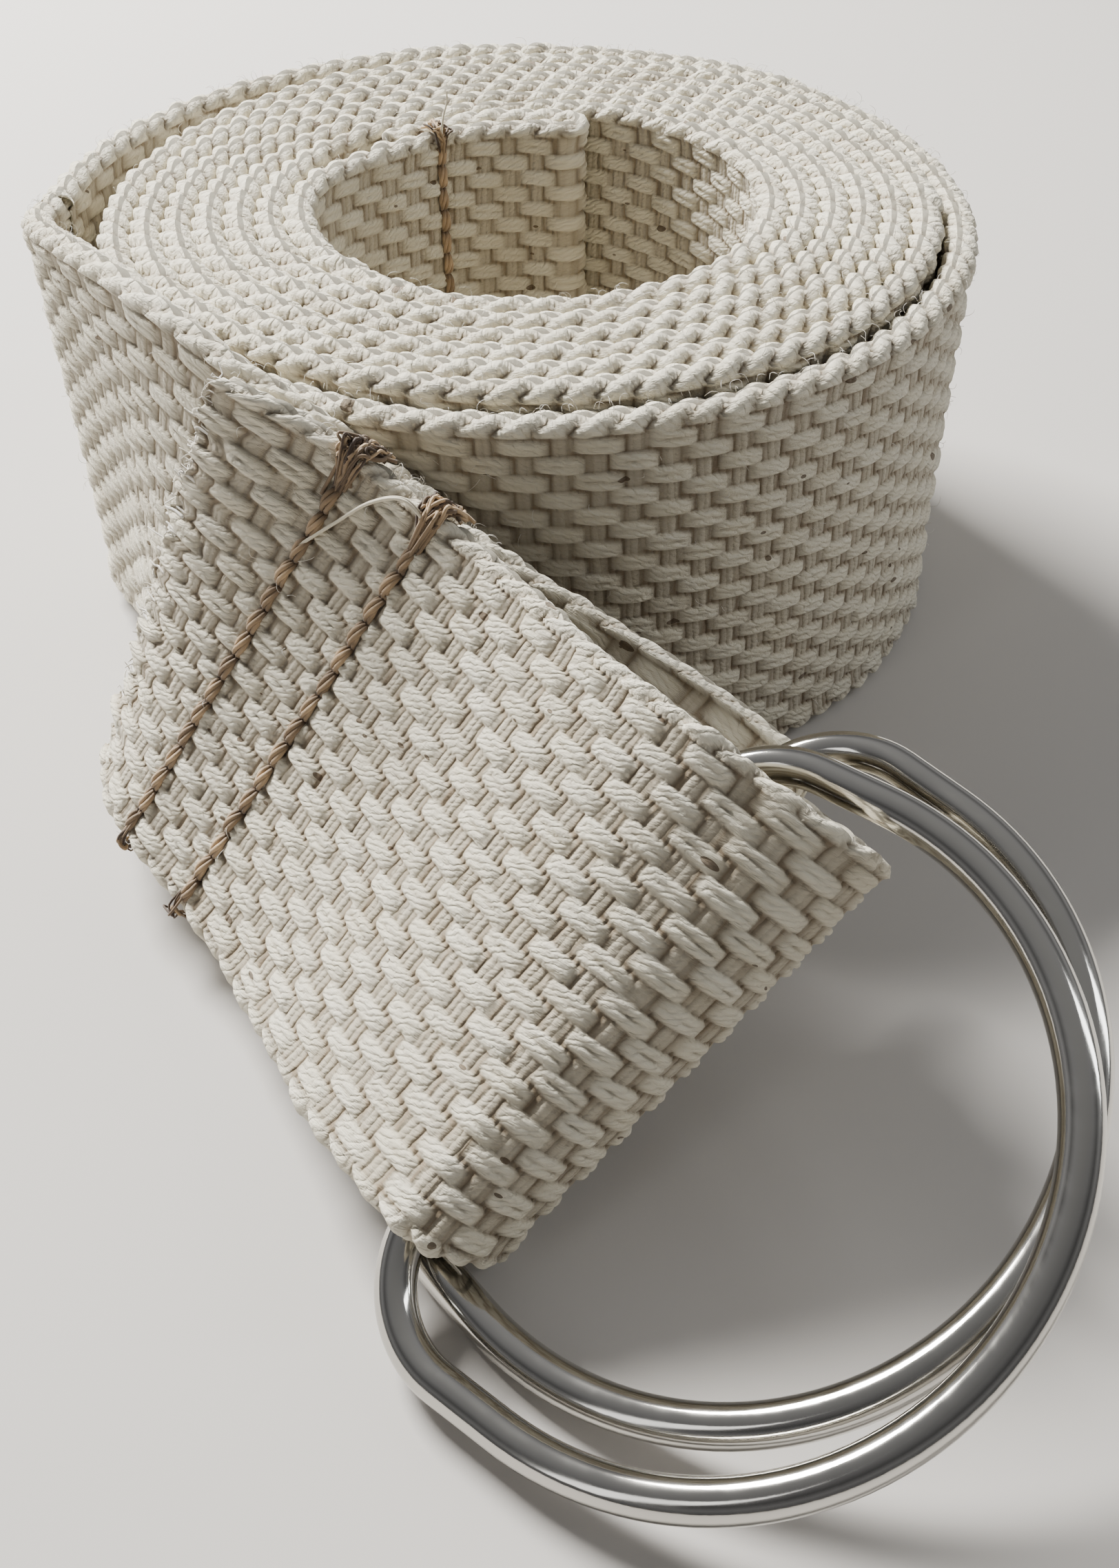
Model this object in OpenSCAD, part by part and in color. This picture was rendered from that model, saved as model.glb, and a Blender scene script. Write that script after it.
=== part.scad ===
// Stretching strap: one length of cotton webbing, rolled up and standing on its edge.
// Its outer end twists away from the roll, passes round the straight bars of two
// D-rings and is sewn back on itself with two rows of stitching. Its inner end is a
// narrow sewn hem. Millimetres, +Z up, origin on the roll's axis where it stands.

/* [Webbing] */
// Width of the webbing, which is the height of the roll
webbing_width = 38; // [30:1:50]
// Thickness of the webbing's solid
webbing_thickness = 2.3; // [1.8:0.1:2.4]
// Distance from one layer to the next, through the middles
layer_pitch = 2.7; // [2.6:0.05:3.2]

/* [Roll] */
// Radius of the hole in the roll at the inner end
hole_radius = 18.7; // [16:0.1:26]
// Direction in which the inner end lies, in degrees
inner_end_angle = 80; // [60:1:100]
// Angle that the roll winds through, in degrees
wound_angle = 2620; // [2612:1:2626]
// How far the outermost turn stands off the rest where it leaves
stand_off = 3.3; // [3:0.1:4]

/* [Loose end] */
// Length from the roll to the outer end's fold
loose_length = 99.5; // [98:0.5:101]
// Distance from the roll to the first row of stitching
row_1_at = 51; // [49:0.5:53]
// Distance from the roll to the second row of stitching
row_2_at = 59; // [57:0.5:60]
// Distance from the roll to the flap's cut end
flap_end_at = 40.5; // [38:0.5:43]

/* [Ring loop] */
// Space between flap and strap at the lower edge of the fold
loop_gap_low = 6.3; // [6.1:0.1:6.5]
// Space between flap and strap at the upper edge of the fold
loop_gap_high = 14; // [13.8:0.1:14.6]
// Sideways skew of the flap at the fold
loop_skew = 3; // [2.6:0.1:3.4]

/* [D-rings] */
// Thickness of the rings' wire
wire_d = 2.8; // [2.4:0.1:3.0]
// Clear width inside a ring
ring_width = 43.6; // [43.2:0.1:44]
// Clear depth inside a ring, from bar to bow
ring_depth = 32.6; // [31:0.1:34]
// Radius of a ring's two corners, at the middle of the wire
ring_corner = 7.5; // [6:0.5:8]

/* [Stitching] */
// Width of a stitch across the row
thread_width = 0.9; // [0.6:0.1:1.2]
// Distance between needle holes
stitch_pitch = 2.25; // [2:0.05:3]
// Length of the hem's turned-in flap
hem_length = 16; // [14:1:18]
// Distance from the hem's fold to its row of stitching
hem_row_at = 12.5; // [10:0.5:13]

/* [Hidden] */

// The loose end's shape: its turn, rise and lean, in degrees, at even steps along it
loose_turn = [-3, 29, 25, 29, 46, 38, 31, 40, 64];
loose_rise = [5, 6, 5, -6, -17, -8, 2, -4, -31];
loose_lean = [-1, -1, 3, 16, 33, 41, 46, 53, 65];
// How far the loose end is lifted clear of what it lies on
loose_lift = 1.1;
// Length over which that lift is reached
lift_length = 15;
// Where the fold's half circle starts, back from the fold
fold_start = 5;
// Where the loop has opened fully, back from the fold
loop_open_by = 14;
// Step along the webbing where it isn't wound
path_step = 2.5;
// Step round the roll, in degrees
roll_step = 7.5;
// Half circles are drawn in this many steps
fold_steps = 12;
// How far the hem stands into the hole
hem_step_in = layer_pitch;
// Angle over which the first turn eases back out behind the hem
hem_ease = 45;
// Angle over which the outermost turn comes away from the rest
stand_off_angle = 110;

// Rings: middle of the straight bar, then the rotations about X, Y and Z
front_ring_place = [[0.3, -74.6, 12.7], [-1.3, -27.6, 50.6]];
rear_ring_place = [[4.1, -68.0, 12.0], [2.7, -25.4, 38.0]];
ring_half = ring_width / 2 + wire_d / 2;
ring_reach = ring_depth + wire_d;
ring_leg = ring_reach - ring_corner - ring_half;

// Threads: depth sunk into the face, height above it, and end margins
thread_sunk = 0.25;
thread_proud = 0.3;
hem_thread_proud = 0.15;
row_margin = 1;
// Each stitch is drawn through these shares of its length, thin at its two holes
stitch_shares = [0.08, 0.35, 0.65, 0.92];
hole_share = 0.35;

// Steps round the wire and round a full turn of a ring's bends
wire_sides = 32;
bend_sides = 96;

webbing_color = [0.88, 0.86, 0.81];
thread_color = [0.59, 0.45, 0.31];
metal_color = [0.80, 0.80, 0.78];

// ---- vectors -------------------------------------------------------------------
function unit(v) = v / norm(v);
function mix(a, b, k) = a * (1 - k) + b * k;
function ramp(x) = let (k = min(1, max(0, x))) k * k * (3 - 2 * k);

// Smooth curve through evenly spaced values, read at u from 0 to the last index
function through(v, u) =
    let (i = min(len(v) - 2, max(0, floor(u))), f = u - i,
         a = v[max(0, i - 1)], b = v[i], c = v[i + 1], d = v[min(len(v) - 1, i + 2)])
    b + f * (c - a) / 2 + f * f * (2 * a - 5 * b + 4 * c - d) / 2
      + f * f * f * (3 * b - a - 3 * c + d) / 2;

// ---- sections of the webbing: [lower edge, upper edge, face normal] --------------
function standing(r, az, out) =
    let (x = r * cos(az), y = r * sin(az), n = [cos(az), sin(az), 0] * out)
    [[x, y, 0], [x, y, webbing_width], n];

// Middle radius of the wound webbing, by the angle wound from the inner end
function roll_radius(w) = hole_radius + layer_pitch * (0.5 + w / 360)
    - hem_step_in * (1 - ramp((w - hem_angle) / hem_ease))
    + stand_off * ramp((w - wound_angle + stand_off_angle) / stand_off_angle);
hem_angle = hem_length / (hole_radius - hem_step_in / 2) * 180 / PI;

// Hem: the turned-in flap behind the first layer, then its fold
function hem_flap() = [
    for (w = [hem_angle : -roll_step : 0])
        standing(roll_radius(w) + layer_pitch, inner_end_angle + w, -1)
];
function hem_fold() =
    let (r0 = roll_radius(0) + layer_pitch / 2)
    [
        for (i = [1 : fold_steps - 1])
            let (f = 180 * i / fold_steps,
                 radial = [cos(inner_end_angle), sin(inner_end_angle), 0],
                 along = [sin(inner_end_angle), -cos(inner_end_angle), 0],
                 h = layer_pitch / 2 * cos(f),
                 p = radial * (r0 + h) + along * layer_pitch / 2 * sin(f))
            [p, p + [0, 0, webbing_width], -radial * cos(f) - along * sin(f)]
    ];
// The turns up to where the outermost one comes away, and the rest of that one
leave_angle = wound_angle - stand_off_angle;
function turns(from, to) = [
    for (w = [from : roll_step : to - roll_step / 2])
        standing(roll_radius(w), inner_end_angle + w, 1)
];
function leaving() = standing(roll_radius(leave_angle), inner_end_angle + leave_angle, 1);

// Loose end: direction, width direction and face normal at distance s from the roll
loose_start_angle = inner_end_angle + wound_angle;
function loose_u(s) = s / loose_length * (len(loose_turn) - 1);
function heading(s) = loose_start_angle + 90 + through(loose_turn, loose_u(s));
function along_at(s) =
    let (h = heading(s), r = through(loose_rise, loose_u(s)))
    [cos(h) * cos(r), sin(h) * cos(r), sin(r)];
function across_at(s) =
    let (h = heading(s), r = through(loose_rise, loose_u(s)),
         l = through(loose_lean, loose_u(s)),
         up = [-cos(h) * sin(r), -sin(h) * sin(r), cos(r)],
         side = cross(along_at(s), up))
    up * cos(l) - side * sin(l);
function face_at(s) = cross(along_at(s), across_at(s));
loose_steps = round(loose_length / path_step);
function loose_s(i) = loose_length * i / loose_steps;

// The sewn joint's middle surface, from the roll to the fold
loose_from =
    let (r = roll_radius(wound_angle) + layer_pitch / 2)
    [r * cos(loose_start_angle), r * sin(loose_start_angle), webbing_width / 2];
loose_path = [
    for (i = 0, p = loose_from; i <= loose_steps;
         i = i + 1,
         p = p + (along_at(loose_s(i - 1)) + along_at(loose_s(i))) / 2
             * loose_length / loose_steps)
        p + [0, 0, loose_lift * ramp(loose_s(i) / lift_length)]
];
function middle_at(s) =
    let (u = s / loose_length * loose_steps, i = min(loose_steps - 1, floor(u)))
    mix(loose_path[i], loose_path[i + 1], u - i);

// A section at distance s, moved along its normal at each edge and sideways
function loose_section(s, low, high, sideways, facing) =
    let (m = middle_at(s), w = across_at(s), n = face_at(s), h = webbing_width / 2)
    [m + w * (sideways - h) + n * low, m + w * (sideways + h) + n * high, n * facing];
function loop_share(s) =
    ramp((s - row_2_at) / (loose_length - loop_open_by - row_2_at));
function strap_section(s) =
    let (k = loop_share(s), rest = layer_pitch / 2, tight = layer_pitch - webbing_thickness)
    loose_section(s, -rest - k * (loop_gap_low - tight), -rest - k * (loop_gap_high - tight),
                  k * loop_skew, 1);
function flap_section(s) = loose_section(s, layer_pitch / 2, layer_pitch / 2, 0, -1);

fold_at = loose_length - fold_start;
fold_index = floor(fold_at / loose_length * loose_steps);
function loose_strap() = [for (i = [0 : fold_index]) strap_section(loose_s(i))];
function fold_edge(a, b, along, f) =
    let (k = (a + b) / 2, h = (a - b) / 2)
    k + h * cos(f) + along * norm(h) * sin(f);
function ring_fold() =
    let (a = strap_section(loose_s(fold_index)), b = flap_section(loose_s(fold_index)),
         t = along_at(loose_s(fold_index)))
    [
        for (i = [1 : fold_steps - 1])
            let (f = 180 * i / fold_steps,
                 low = fold_edge(a[0], b[0], t, f), high = fold_edge(a[1], b[1], t, f))
            [low, high, unit(a[2] * cos(f) - t * sin(f))]
    ];
flap_index = ceil(flap_end_at / loose_length * loose_steps);
function flap() = [for (i = [fold_index : -1 : flap_index]) flap_section(loose_s(i))];

// ---- solids swept through sections -----------------------------------------------
function corners(s, t) = [s[0] - s[2] * t / 2, s[1] - s[2] * t / 2,
                          s[1] + s[2] * t / 2, s[0] + s[2] * t / 2];
module sweep(rings) {
    sides = len(rings[0]);
    last = (len(rings) - 1) * sides;
    points = [for (r = rings) each r];
    walls = [
        for (i = [0 : len(rings) - 2], j = [0 : sides - 1])
            let (a = i * sides + j, b = i * sides + (j + 1) % sides)
            each [[b, a, a + sides], [b + sides, b, a + sides]]
    ];
    start = [for (j = [0 : sides - 1]) j];
    end = [for (j = [sides - 1 : -1 : 0]) last + j];
    polyhedron(points, concat([start], walls, [end]));
}

// ---- webbing -----------------------------------------------------------------------
// One length of webbing, as two solids that meet where its outermost turn comes away
module strip(sections) {
    color(webbing_color)
        sweep([for (s = sections) corners(s, webbing_thickness)]);
}
module rolled_webbing() {
    strip(concat(hem_flap(), hem_fold(), turns(0, leave_angle), [leaving()]));
}
module loose_end_webbing() {
    strip(concat(turns(leave_angle, wound_angle), loose_strap(), ring_fold(), flap()));
}

// ---- stitching ---------------------------------------------------------------------
// One thread of a row: low from one edge to the other, thin where the needle went in
module thread_row(low_edge, high_edge, along, normal, proud) {
    span = norm(high_edge - low_edge) - 2 * row_margin;
    across = unit(high_edge - low_edge);
    stitches = floor(span / stitch_pitch);
    first = low_edge + across * (row_margin + (span - stitches * stitch_pitch) / 2);
    rings = [
        for (i = [0 : stitches - 1], k = [0 : 3])
            let (full = (k == 1 || k == 2) ? 1 : hole_share,
                 p = first + across * (i + stitch_shares[k]) * stitch_pitch,
                 x = along * thread_width / 2 * full, top = normal * proud * full,
                 under = -normal * thread_sunk)
            [p - x + under, p + x + under, p + x + top, p - x + top]
    ];
    color(thread_color) sweep(rings);
}
// A row at a station of the loose end, on the flap's face or on the strap's back
module loop_row(s, face) {
    n = face_at(s);
    w = across_at(s) * webbing_width / 2;
    m = middle_at(s) + n * face * (layer_pitch + webbing_thickness) / 2;
    thread_row(m - w, m + w, along_at(s) * face, n * face, thread_proud);
}
// A row on the hem, on the side of the hole or between the hem and the next layer
module hem_row(face) {
    w = hem_row_at / roll_radius(0) * 180 / PI;
    az = inner_end_angle + w;
    r = roll_radius(w) + (face < 0 ? 0 : layer_pitch) + face * webbing_thickness / 2;
    p = r * [cos(az), sin(az), 0];
    thread_row(p, p + [0, 0, webbing_width], [-sin(az), cos(az), 0] * face,
               [cos(az), sin(az), 0] * face, hem_thread_proud);
}
module loop_row_1_needle_thread() { loop_row(row_1_at, 1); }
module loop_row_1_bobbin_thread() { loop_row(row_1_at, -1); }
module loop_row_2_needle_thread() { loop_row(row_2_at, 1); }
module loop_row_2_bobbin_thread() { loop_row(row_2_at, -1); }
module hem_row_needle_thread() { hem_row(-1); }
module hem_row_bobbin_thread() { hem_row(1); }

// ---- D-rings -----------------------------------------------------------------------
module wire_bend(radius, from, angle) {
    rotate([0, 0, from])
        rotate_extrude(angle = angle, $fn = bend_sides)
            translate([radius, 0, 0]) circle(d = wire_d, $fn = wire_sides);
}
module wire_rod(length) {
    cylinder(d = wire_d, h = length, $fn = wire_sides);
}
// A D-ring in its own plane: straight bar along X, bow towards -Y
module d_ring() {
    bar = ring_half - ring_corner;
    color(metal_color) union() {
        translate([-bar, 0, 0]) rotate([0, 90, 0]) wire_rod(2 * bar);
        translate([bar, -ring_corner, 0]) wire_bend(ring_corner, 0, 90);
        translate([-bar, -ring_corner, 0]) wire_bend(ring_corner, 90, 90);
        for (side = [-1, 1])
            translate([side * ring_half, -ring_corner, 0]) rotate([90, 0, 0]) wire_rod(ring_leg);
        translate([0, -ring_corner - ring_leg, 0]) wire_bend(ring_half, 180, 180);
    }
}
module placed(place) {
    translate(place[0]) rotate(place[1]) children();
}
module front_d_ring() { placed(front_ring_place) d_ring(); }
module rear_d_ring() { placed(rear_ring_place) d_ring(); }

rolled_webbing();
loose_end_webbing();
front_d_ring();
rear_d_ring();
loop_row_1_needle_thread();
loop_row_1_bobbin_thread();
loop_row_2_needle_thread();
loop_row_2_bobbin_thread();
hem_row_needle_thread();
hem_row_bobbin_thread();
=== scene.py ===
import math
import bpy
import numpy as np
from mathutils import Matrix


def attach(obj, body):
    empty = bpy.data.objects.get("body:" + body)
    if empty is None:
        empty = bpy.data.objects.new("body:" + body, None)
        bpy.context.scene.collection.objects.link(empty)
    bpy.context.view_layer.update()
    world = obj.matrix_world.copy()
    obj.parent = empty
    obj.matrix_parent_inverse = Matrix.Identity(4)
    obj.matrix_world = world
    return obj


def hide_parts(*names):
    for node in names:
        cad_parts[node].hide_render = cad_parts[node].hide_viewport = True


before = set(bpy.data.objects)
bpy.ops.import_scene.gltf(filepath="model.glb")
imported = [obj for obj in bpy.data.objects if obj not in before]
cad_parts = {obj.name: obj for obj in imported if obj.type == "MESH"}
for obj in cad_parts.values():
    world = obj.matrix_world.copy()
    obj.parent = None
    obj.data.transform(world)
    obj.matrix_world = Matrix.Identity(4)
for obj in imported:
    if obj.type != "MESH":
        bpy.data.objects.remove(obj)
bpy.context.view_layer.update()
MM = 0.001
rng = np.random.default_rng(38)

# ---- sizes and shape of the frame's webbing, in millimetres and degrees -------------
WIDTH, THICK, PITCH = 38.0, 2.3, 2.7
HOLE_RADIUS, INNER_AT, WOUND = 18.7, 80.0, 2620.0
STAND_OFF, STAND_OFF_ANGLE = 3.3, 110.0
LOOSE, ROW_1, ROW_2, FLAP_END = 99.5, 51.0, 59.0, 40.5
GAP_LOW, GAP_HIGH, SKEW = 6.3, 14.0, 3.0
TURN = [-3, 29, 25, 29, 46, 38, 31, 40, 64]
RISE = [5, 6, 5, -6, -17, -8, 2, -4, -31]
LEAN = [-1, -1, 3, 16, 33, 41, 46, 53, 65]
LIFT, FOLD_START, LOOP_OPEN_BY = 1.1, 5.0, 14.0
HEM_LENGTH, HEM_ROW, HEM_EASE = 16.0, 12.5, 45.0
STITCH, FIRST_HOLE = 2.25, -18.0
# Where the visible outermost layer sits lower and further out, and by how much
DIP_FROM, DIP_TO, DIP, DIP_OUT, DIP_EASE = 2270.0, 2500.0, 1.1, 0.45, 60.0

# ---- weave ---------------------------------------------------------------------------
REPEAT = 5.6          # along the webbing, from one float to the next in its row
ROWS = 22             # rows of floats between the selvedges
FLOAT_SHARE = 0.70    # share of the repeat that a float covers
CORE = 0.80           # half the thickness, between the yarns
EDGE_CORE = 1.12      # half the thickness at the selvedge
RELIEF = 0.56         # height of a float over its surroundings
EDGE_ROUND = 0.95     # width of the looped selvedge under its lobes
FLAT_HALF = WIDTH / 2 - 1.5     # half the width between the selvedges
LOBE = 0.74           # height of the selvedge's lobes
LOOP_FROM = 70.0      # from here on the loop's inside is flattened, so the swinging rings clear it
LOOP_EASE = 6.0       # length over which that flattening is reached
ROW_SHIFT, FACE_SHIFT = 0.5, 0.36      # a row's and the back's shift along, as shares of the repeat
START_WANDER = 0.022  # how unevenly floats start, as a share of the repeat
STRAND = 0.25         # half a strand's width and its place beside the middle, as shares of a row
BODY = 0.53           # half a float's width, as a share of a row
STRAND_LEAN = 0.20    # how far a float's strands cross its row
PIT = 0.035           # width of the pits at a float's ends, as a share of the repeat
PUCKER, NEEDLE_HOLE = 0.8, 0.62        # widths that a stitch row draws in
FRAY_AT, FRAY_AT_HEM, RAGGED_FROM = 2.2, 1.6, 7.0      # lengths that the cut ends thin and wander over
JITTERS = 512         # random values before they repeat


def ramp(x):
    k = np.clip(x, 0, 1)
    return k * k * (3 - 2 * k)


def unit(v):
    return v / np.linalg.norm(v, axis=-1, keepdims=True)


def through(values, u):
    """Smooth curve through evenly spaced values, read at u from 0 to the last index."""
    v = np.array(values, float)
    i = np.clip(np.floor(u).astype(int), 0, len(v) - 2)
    f = u - i
    a, b, c, d = v[np.maximum(i - 1, 0)], v[i], v[i + 1], v[np.minimum(i + 2, len(v) - 1)]
    return (b + f * (c - a) / 2 + f ** 2 * (2 * a - 5 * b + 4 * c - d) / 2
            + f ** 3 * (3 * b - a - 3 * c + d) / 2)


# ---- the webbing's sections: lower edge, upper edge and face normal -------------------
HEM_ANGLE = math.degrees(HEM_LENGTH / (HOLE_RADIUS - PITCH / 2))


def roll_radius(w):
    return (HOLE_RADIUS + PITCH * (0.5 + w / 360) - PITCH * (1 - ramp((w - HEM_ANGLE) / HEM_EASE))
            + STAND_OFF * ramp((w - WOUND + STAND_OFF_ANGLE) / STAND_OFF_ANGLE))


def standing(r, az, out):
    az = np.radians(az)
    n = np.stack([np.cos(az), np.sin(az), 0 * az], -1)
    low = n * r[:, None]
    return low, low + [0, 0, WIDTH], n * out


def loose_frame(s):
    u = s / LOOSE * (len(TURN) - 1)
    h = np.radians(INNER_AT + WOUND + 90 + through(TURN, u))
    r, lean = np.radians(through(RISE, u)), np.radians(through(LEAN, u))
    along = np.stack([np.cos(h) * np.cos(r), np.sin(h) * np.cos(r), np.sin(r)], -1)
    up = np.stack([-np.cos(h) * np.sin(r), -np.sin(h) * np.sin(r), np.cos(r)], -1)
    across = up * np.cos(lean)[:, None] - np.cross(along, up) * np.sin(lean)[:, None]
    return along, across, np.cross(along, across)


PATH_S = np.linspace(0, LOOSE, 400)
end_az = math.radians(INNER_AT + WOUND)
end_r = float(roll_radius(np.array([WOUND]))[0]) + PITCH / 2
path_t = loose_frame(PATH_S)[0]
PATH = np.array([end_r * math.cos(end_az), end_r * math.sin(end_az), WIDTH / 2]) + np.concatenate(
    [[[0, 0, 0]], np.cumsum((path_t[1:] + path_t[:-1]) / 2 * PATH_S[1], 0)])
PATH[:, 2] += LIFT * ramp(PATH_S / 15)


def loose_section(s, low, high, sideways, facing):
    along, across, face = loose_frame(s)
    m = np.stack([np.interp(s, PATH_S, PATH[:, k]) for k in range(3)], -1)
    a = m + across * (sideways - WIDTH / 2)[:, None] + face * low[:, None]
    b = m + across * (sideways + WIDTH / 2)[:, None] + face * high[:, None]
    return a, b, face * facing


def strap_section(s):
    k = ramp((s - ROW_2) / (LOOSE - LOOP_OPEN_BY - ROW_2))
    tight = PITCH - THICK
    return loose_section(s, -PITCH / 2 - k * (GAP_LOW - tight), -PITCH / 2 - k * (GAP_HIGH - tight),
                         k * SKEW, 1)


def flap_section(s):
    half = np.full(len(s), PITCH / 2)
    return loose_section(s, half, half, 0 * s, -1)


def half_turn(a, b, along, f):
    """Points of the half circle that joins a to b, bulging along."""
    h = (a - b) / 2
    return (a + b) / 2 + h * np.cos(f)[:, None] + along * np.linalg.norm(h) * np.sin(f)[:, None]


def all_sections():
    """Sections from the hem's cut end to the flap's, and where each part of them starts."""
    parts = []
    w = np.linspace(HEM_ANGLE, 0, 60)
    parts.append(standing(roll_radius(w) + PITCH, INNER_AT + w, -1))
    f = np.linspace(0, math.pi, 26)[1:-1]
    first, last = [standing(roll_radius(np.zeros(1)) + d, np.array([INNER_AT]), 1) for d in (PITCH, 0)]
    back = np.array([math.sin(math.radians(INNER_AT)), -math.cos(math.radians(INNER_AT)), 0])
    fold = half_turn(first[0][0], last[0][0], back, f)
    normal = -first[2][0] * np.cos(f)[:, None] - back * np.sin(f)[:, None]
    parts.append((fold, fold + [0, 0, WIDTH], normal))
    w = np.linspace(0, WOUND - 0.5, 5200)
    dip = ramp((w - DIP_FROM) / DIP_EASE) * ramp((DIP_TO - w) / DIP_EASE)
    low, high, out = standing(roll_radius(w) + DIP_OUT * dip, INNER_AT + w, 1)
    parts.append((low, high - np.stack([0 * w, 0 * w, DIP * dip], -1), out))
    fold_at = math.floor((LOOSE - FOLD_START) / LOOSE * 40) / 40 * LOOSE
    s = np.linspace(0, fold_at, 500)
    parts.append(strap_section(s))
    end = np.array([fold_at])
    a, b, t = strap_section(end), flap_section(end), loose_frame(end)[0][0]
    f = np.linspace(0, math.pi, 60)[1:-1]
    normal = unit(a[2][0] * np.cos(f)[:, None] - t * np.sin(f)[:, None])
    parts.append((half_turn(a[0][0], b[0][0], t, f), half_turn(a[1][0], b[1][0], t, f), normal))
    s = np.linspace(fold_at, FLAP_END, 300)
    parts.append(flap_section(s))
    starts = np.cumsum([0] + [len(p[0]) for p in parts])
    return [np.concatenate(x) for x in zip(*parts)], starts, fold_at


(LOW, HIGH, NORMAL), STARTS, FOLD_AT = all_sections()
MIDDLE = (LOW + HIGH) / 2
RUN = np.concatenate([[0], np.cumsum(np.linalg.norm(np.diff(MIDDLE, axis=0), axis=1))])
ROLL_RUN = RUN[STARTS[2]]        # where the roll begins along the webbing
LOOSE_RUN = RUN[STARTS[3]]       # where the loose end begins
FLAP_RUN = RUN[STARTS[5]]        # where the flap begins
TOTAL = RUN[-1]


def along_webbing(y):
    """Lower edge, upper edge and normal at distances y along the webbing."""
    def pick(v):
        return np.stack([np.interp(y, RUN, v[:, k]) for k in range(3)], -1)
    return pick(LOW), pick(HIGH), unit(pick(NORMAL))


def strap_run(s):
    """Distance along the webbing of the strap layer at s from the roll."""
    return LOOSE_RUN + s / FOLD_AT * (RUN[STARTS[4]] - LOOSE_RUN)


def flap_run(s):
    """Distance along the webbing of the flap layer at s from the roll."""
    return FLAP_RUN + (FOLD_AT - s) / (FOLD_AT - FLAP_END) * (TOTAL - FLAP_RUN)


# ---- relief of the weave --------------------------------------------------------------
EDGE_JITTER = 40      # the first of the two jitter rows that the selvedges use
jitter = rng.normal(0, 1, (2, 64, JITTERS))


def weave(x, y, side):
    """Height of the yarns over the core at x across and y along, both in millimetres."""
    r = (x / FLAT_HALF + 1) / 2 * ROWS
    i = np.clip(np.floor(r).astype(int), 0, ROWS - 1)
    f = r - i - 0.5
    phase = y / REPEAT + ROW_SHIFT * (i % 2) + FACE_SHIFT * side
    k = np.floor(phase).astype(int)
    noise, other = jitter[side, i, k % JITTERS], jitter[1 - side, i, k % JITTERS]
    g = phase - k + START_WANDER * noise
    t = np.clip(g / FLOAT_SHARE, 0, 1)
    ends = np.clip(1 - np.abs(2 * t - 1) ** 2.6, 0, 1) ** 0.62
    lean = f + (STRAND_LEAN + 0.03 * other) * (t - 0.5) * (1 - 2 * side)
    spread = STRAND * (0.5 + 0.5 * ends) * (1 + 0.10 * other)
    strand = np.sqrt(np.clip(1 - ((np.abs(lean) - spread) / STRAND) ** 2, 0, 1))
    body = np.sqrt(np.clip(1 - (lean / BODY) ** 2, 0, 1))
    floats = ends * (0.40 * body + 0.60 * strand) * (1 + 0.10 * noise)
    hollow = np.exp(-((g - FLOAT_SHARE - 0.02) / PIT) ** 2) + np.exp(-((g - 0.985) / PIT) ** 2)
    weft = (0.36 - 0.34 * np.clip(hollow, 0, 1)) * np.clip(1.15 - 2.2 * np.abs(f) ** 2, 0, 1)
    between = (g > FLOAT_SHARE - 0.02) & (g < 1.02)
    h = np.where(between, np.maximum(weft, floats * (g < FLOAT_SHARE)), np.maximum(floats, 0.02))
    return RELIEF * h


def selvedge(y, b, upper):
    """Height of the looped edge: slanting lobes of two strands, two lobes to a repeat."""
    p = y / (REPEAT / 2) + 0.62 * b / EDGE_CORE + 0.5 * upper
    k = np.floor(p).astype(int)
    g = p - k
    lobe = np.clip(1 - np.abs(2 * g - 1) ** 2.4, 0, 1) ** 0.62
    strand = 0.74 + 0.26 * np.abs(np.sin(math.pi * (g + 1.3 * b)))
    return LOBE * lobe * strand * (1 + 0.13 * jitter[0, EDGE_JITTER + upper, k % JITTERS]) - 0.14


BEND = np.linspace(-90, 90, 11)[1:-1]      # directions of the points round a selvedge, in degrees


def profile(across):
    """The section's outline: across, through, the outward direction and a mark over 0 at the selvedges."""
    rows = [(a * FLAT_HALF, CORE, 0.0, 1.0, 0.0) for a in across[::-1]]
    for side in (-1, 1):
        for e in np.radians(BEND):
            c, d = math.cos(e), side * math.sin(e)
            rows.append((side * (FLAT_HALF + EDGE_ROUND * c), EDGE_CORE * d, side * c, d, c))
        if side < 0:
            rows += [(a * FLAT_HALF, -CORE, 0.0, -1.0, 0.0) for a in across]
    return np.array(rows)


# Hidden turns keep every point near the selvedges, and only some of those between
FINE, KEPT_EDGE, KEPT_EVERY = 179, 14, 8
fine = np.linspace(-1, 1, FINE)
keep = np.ones(FINE, bool)
keep[KEPT_EDGE:-KEPT_EDGE] = (np.arange(FINE)[KEPT_EDGE:-KEPT_EDGE] % KEPT_EVERY) == 0
DENSE, SPARSE = profile(fine), profile(fine[keep])


def pressed(y, x):
    """How far the stitching draws the webbing in, from 0 to 1."""
    k = 0 * y + 0 * x
    for at in (strap_run(ROW_1), strap_run(ROW_2), flap_run(ROW_1), flap_run(ROW_2),
               ROLL_RUN + HEM_ROW, HEM_LENGTH - HEM_ROW):
        near = np.abs(np.cos(math.pi * (x - FIRST_HOLE) / STITCH))
        k = np.maximum(k, 0.45 * np.exp(-((y - at) / PUCKER) ** 2))
        k = np.maximum(k, np.exp(-((y - at) / NEEDLE_HOLE) ** 2) * near ** 4)
    return k


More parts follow.
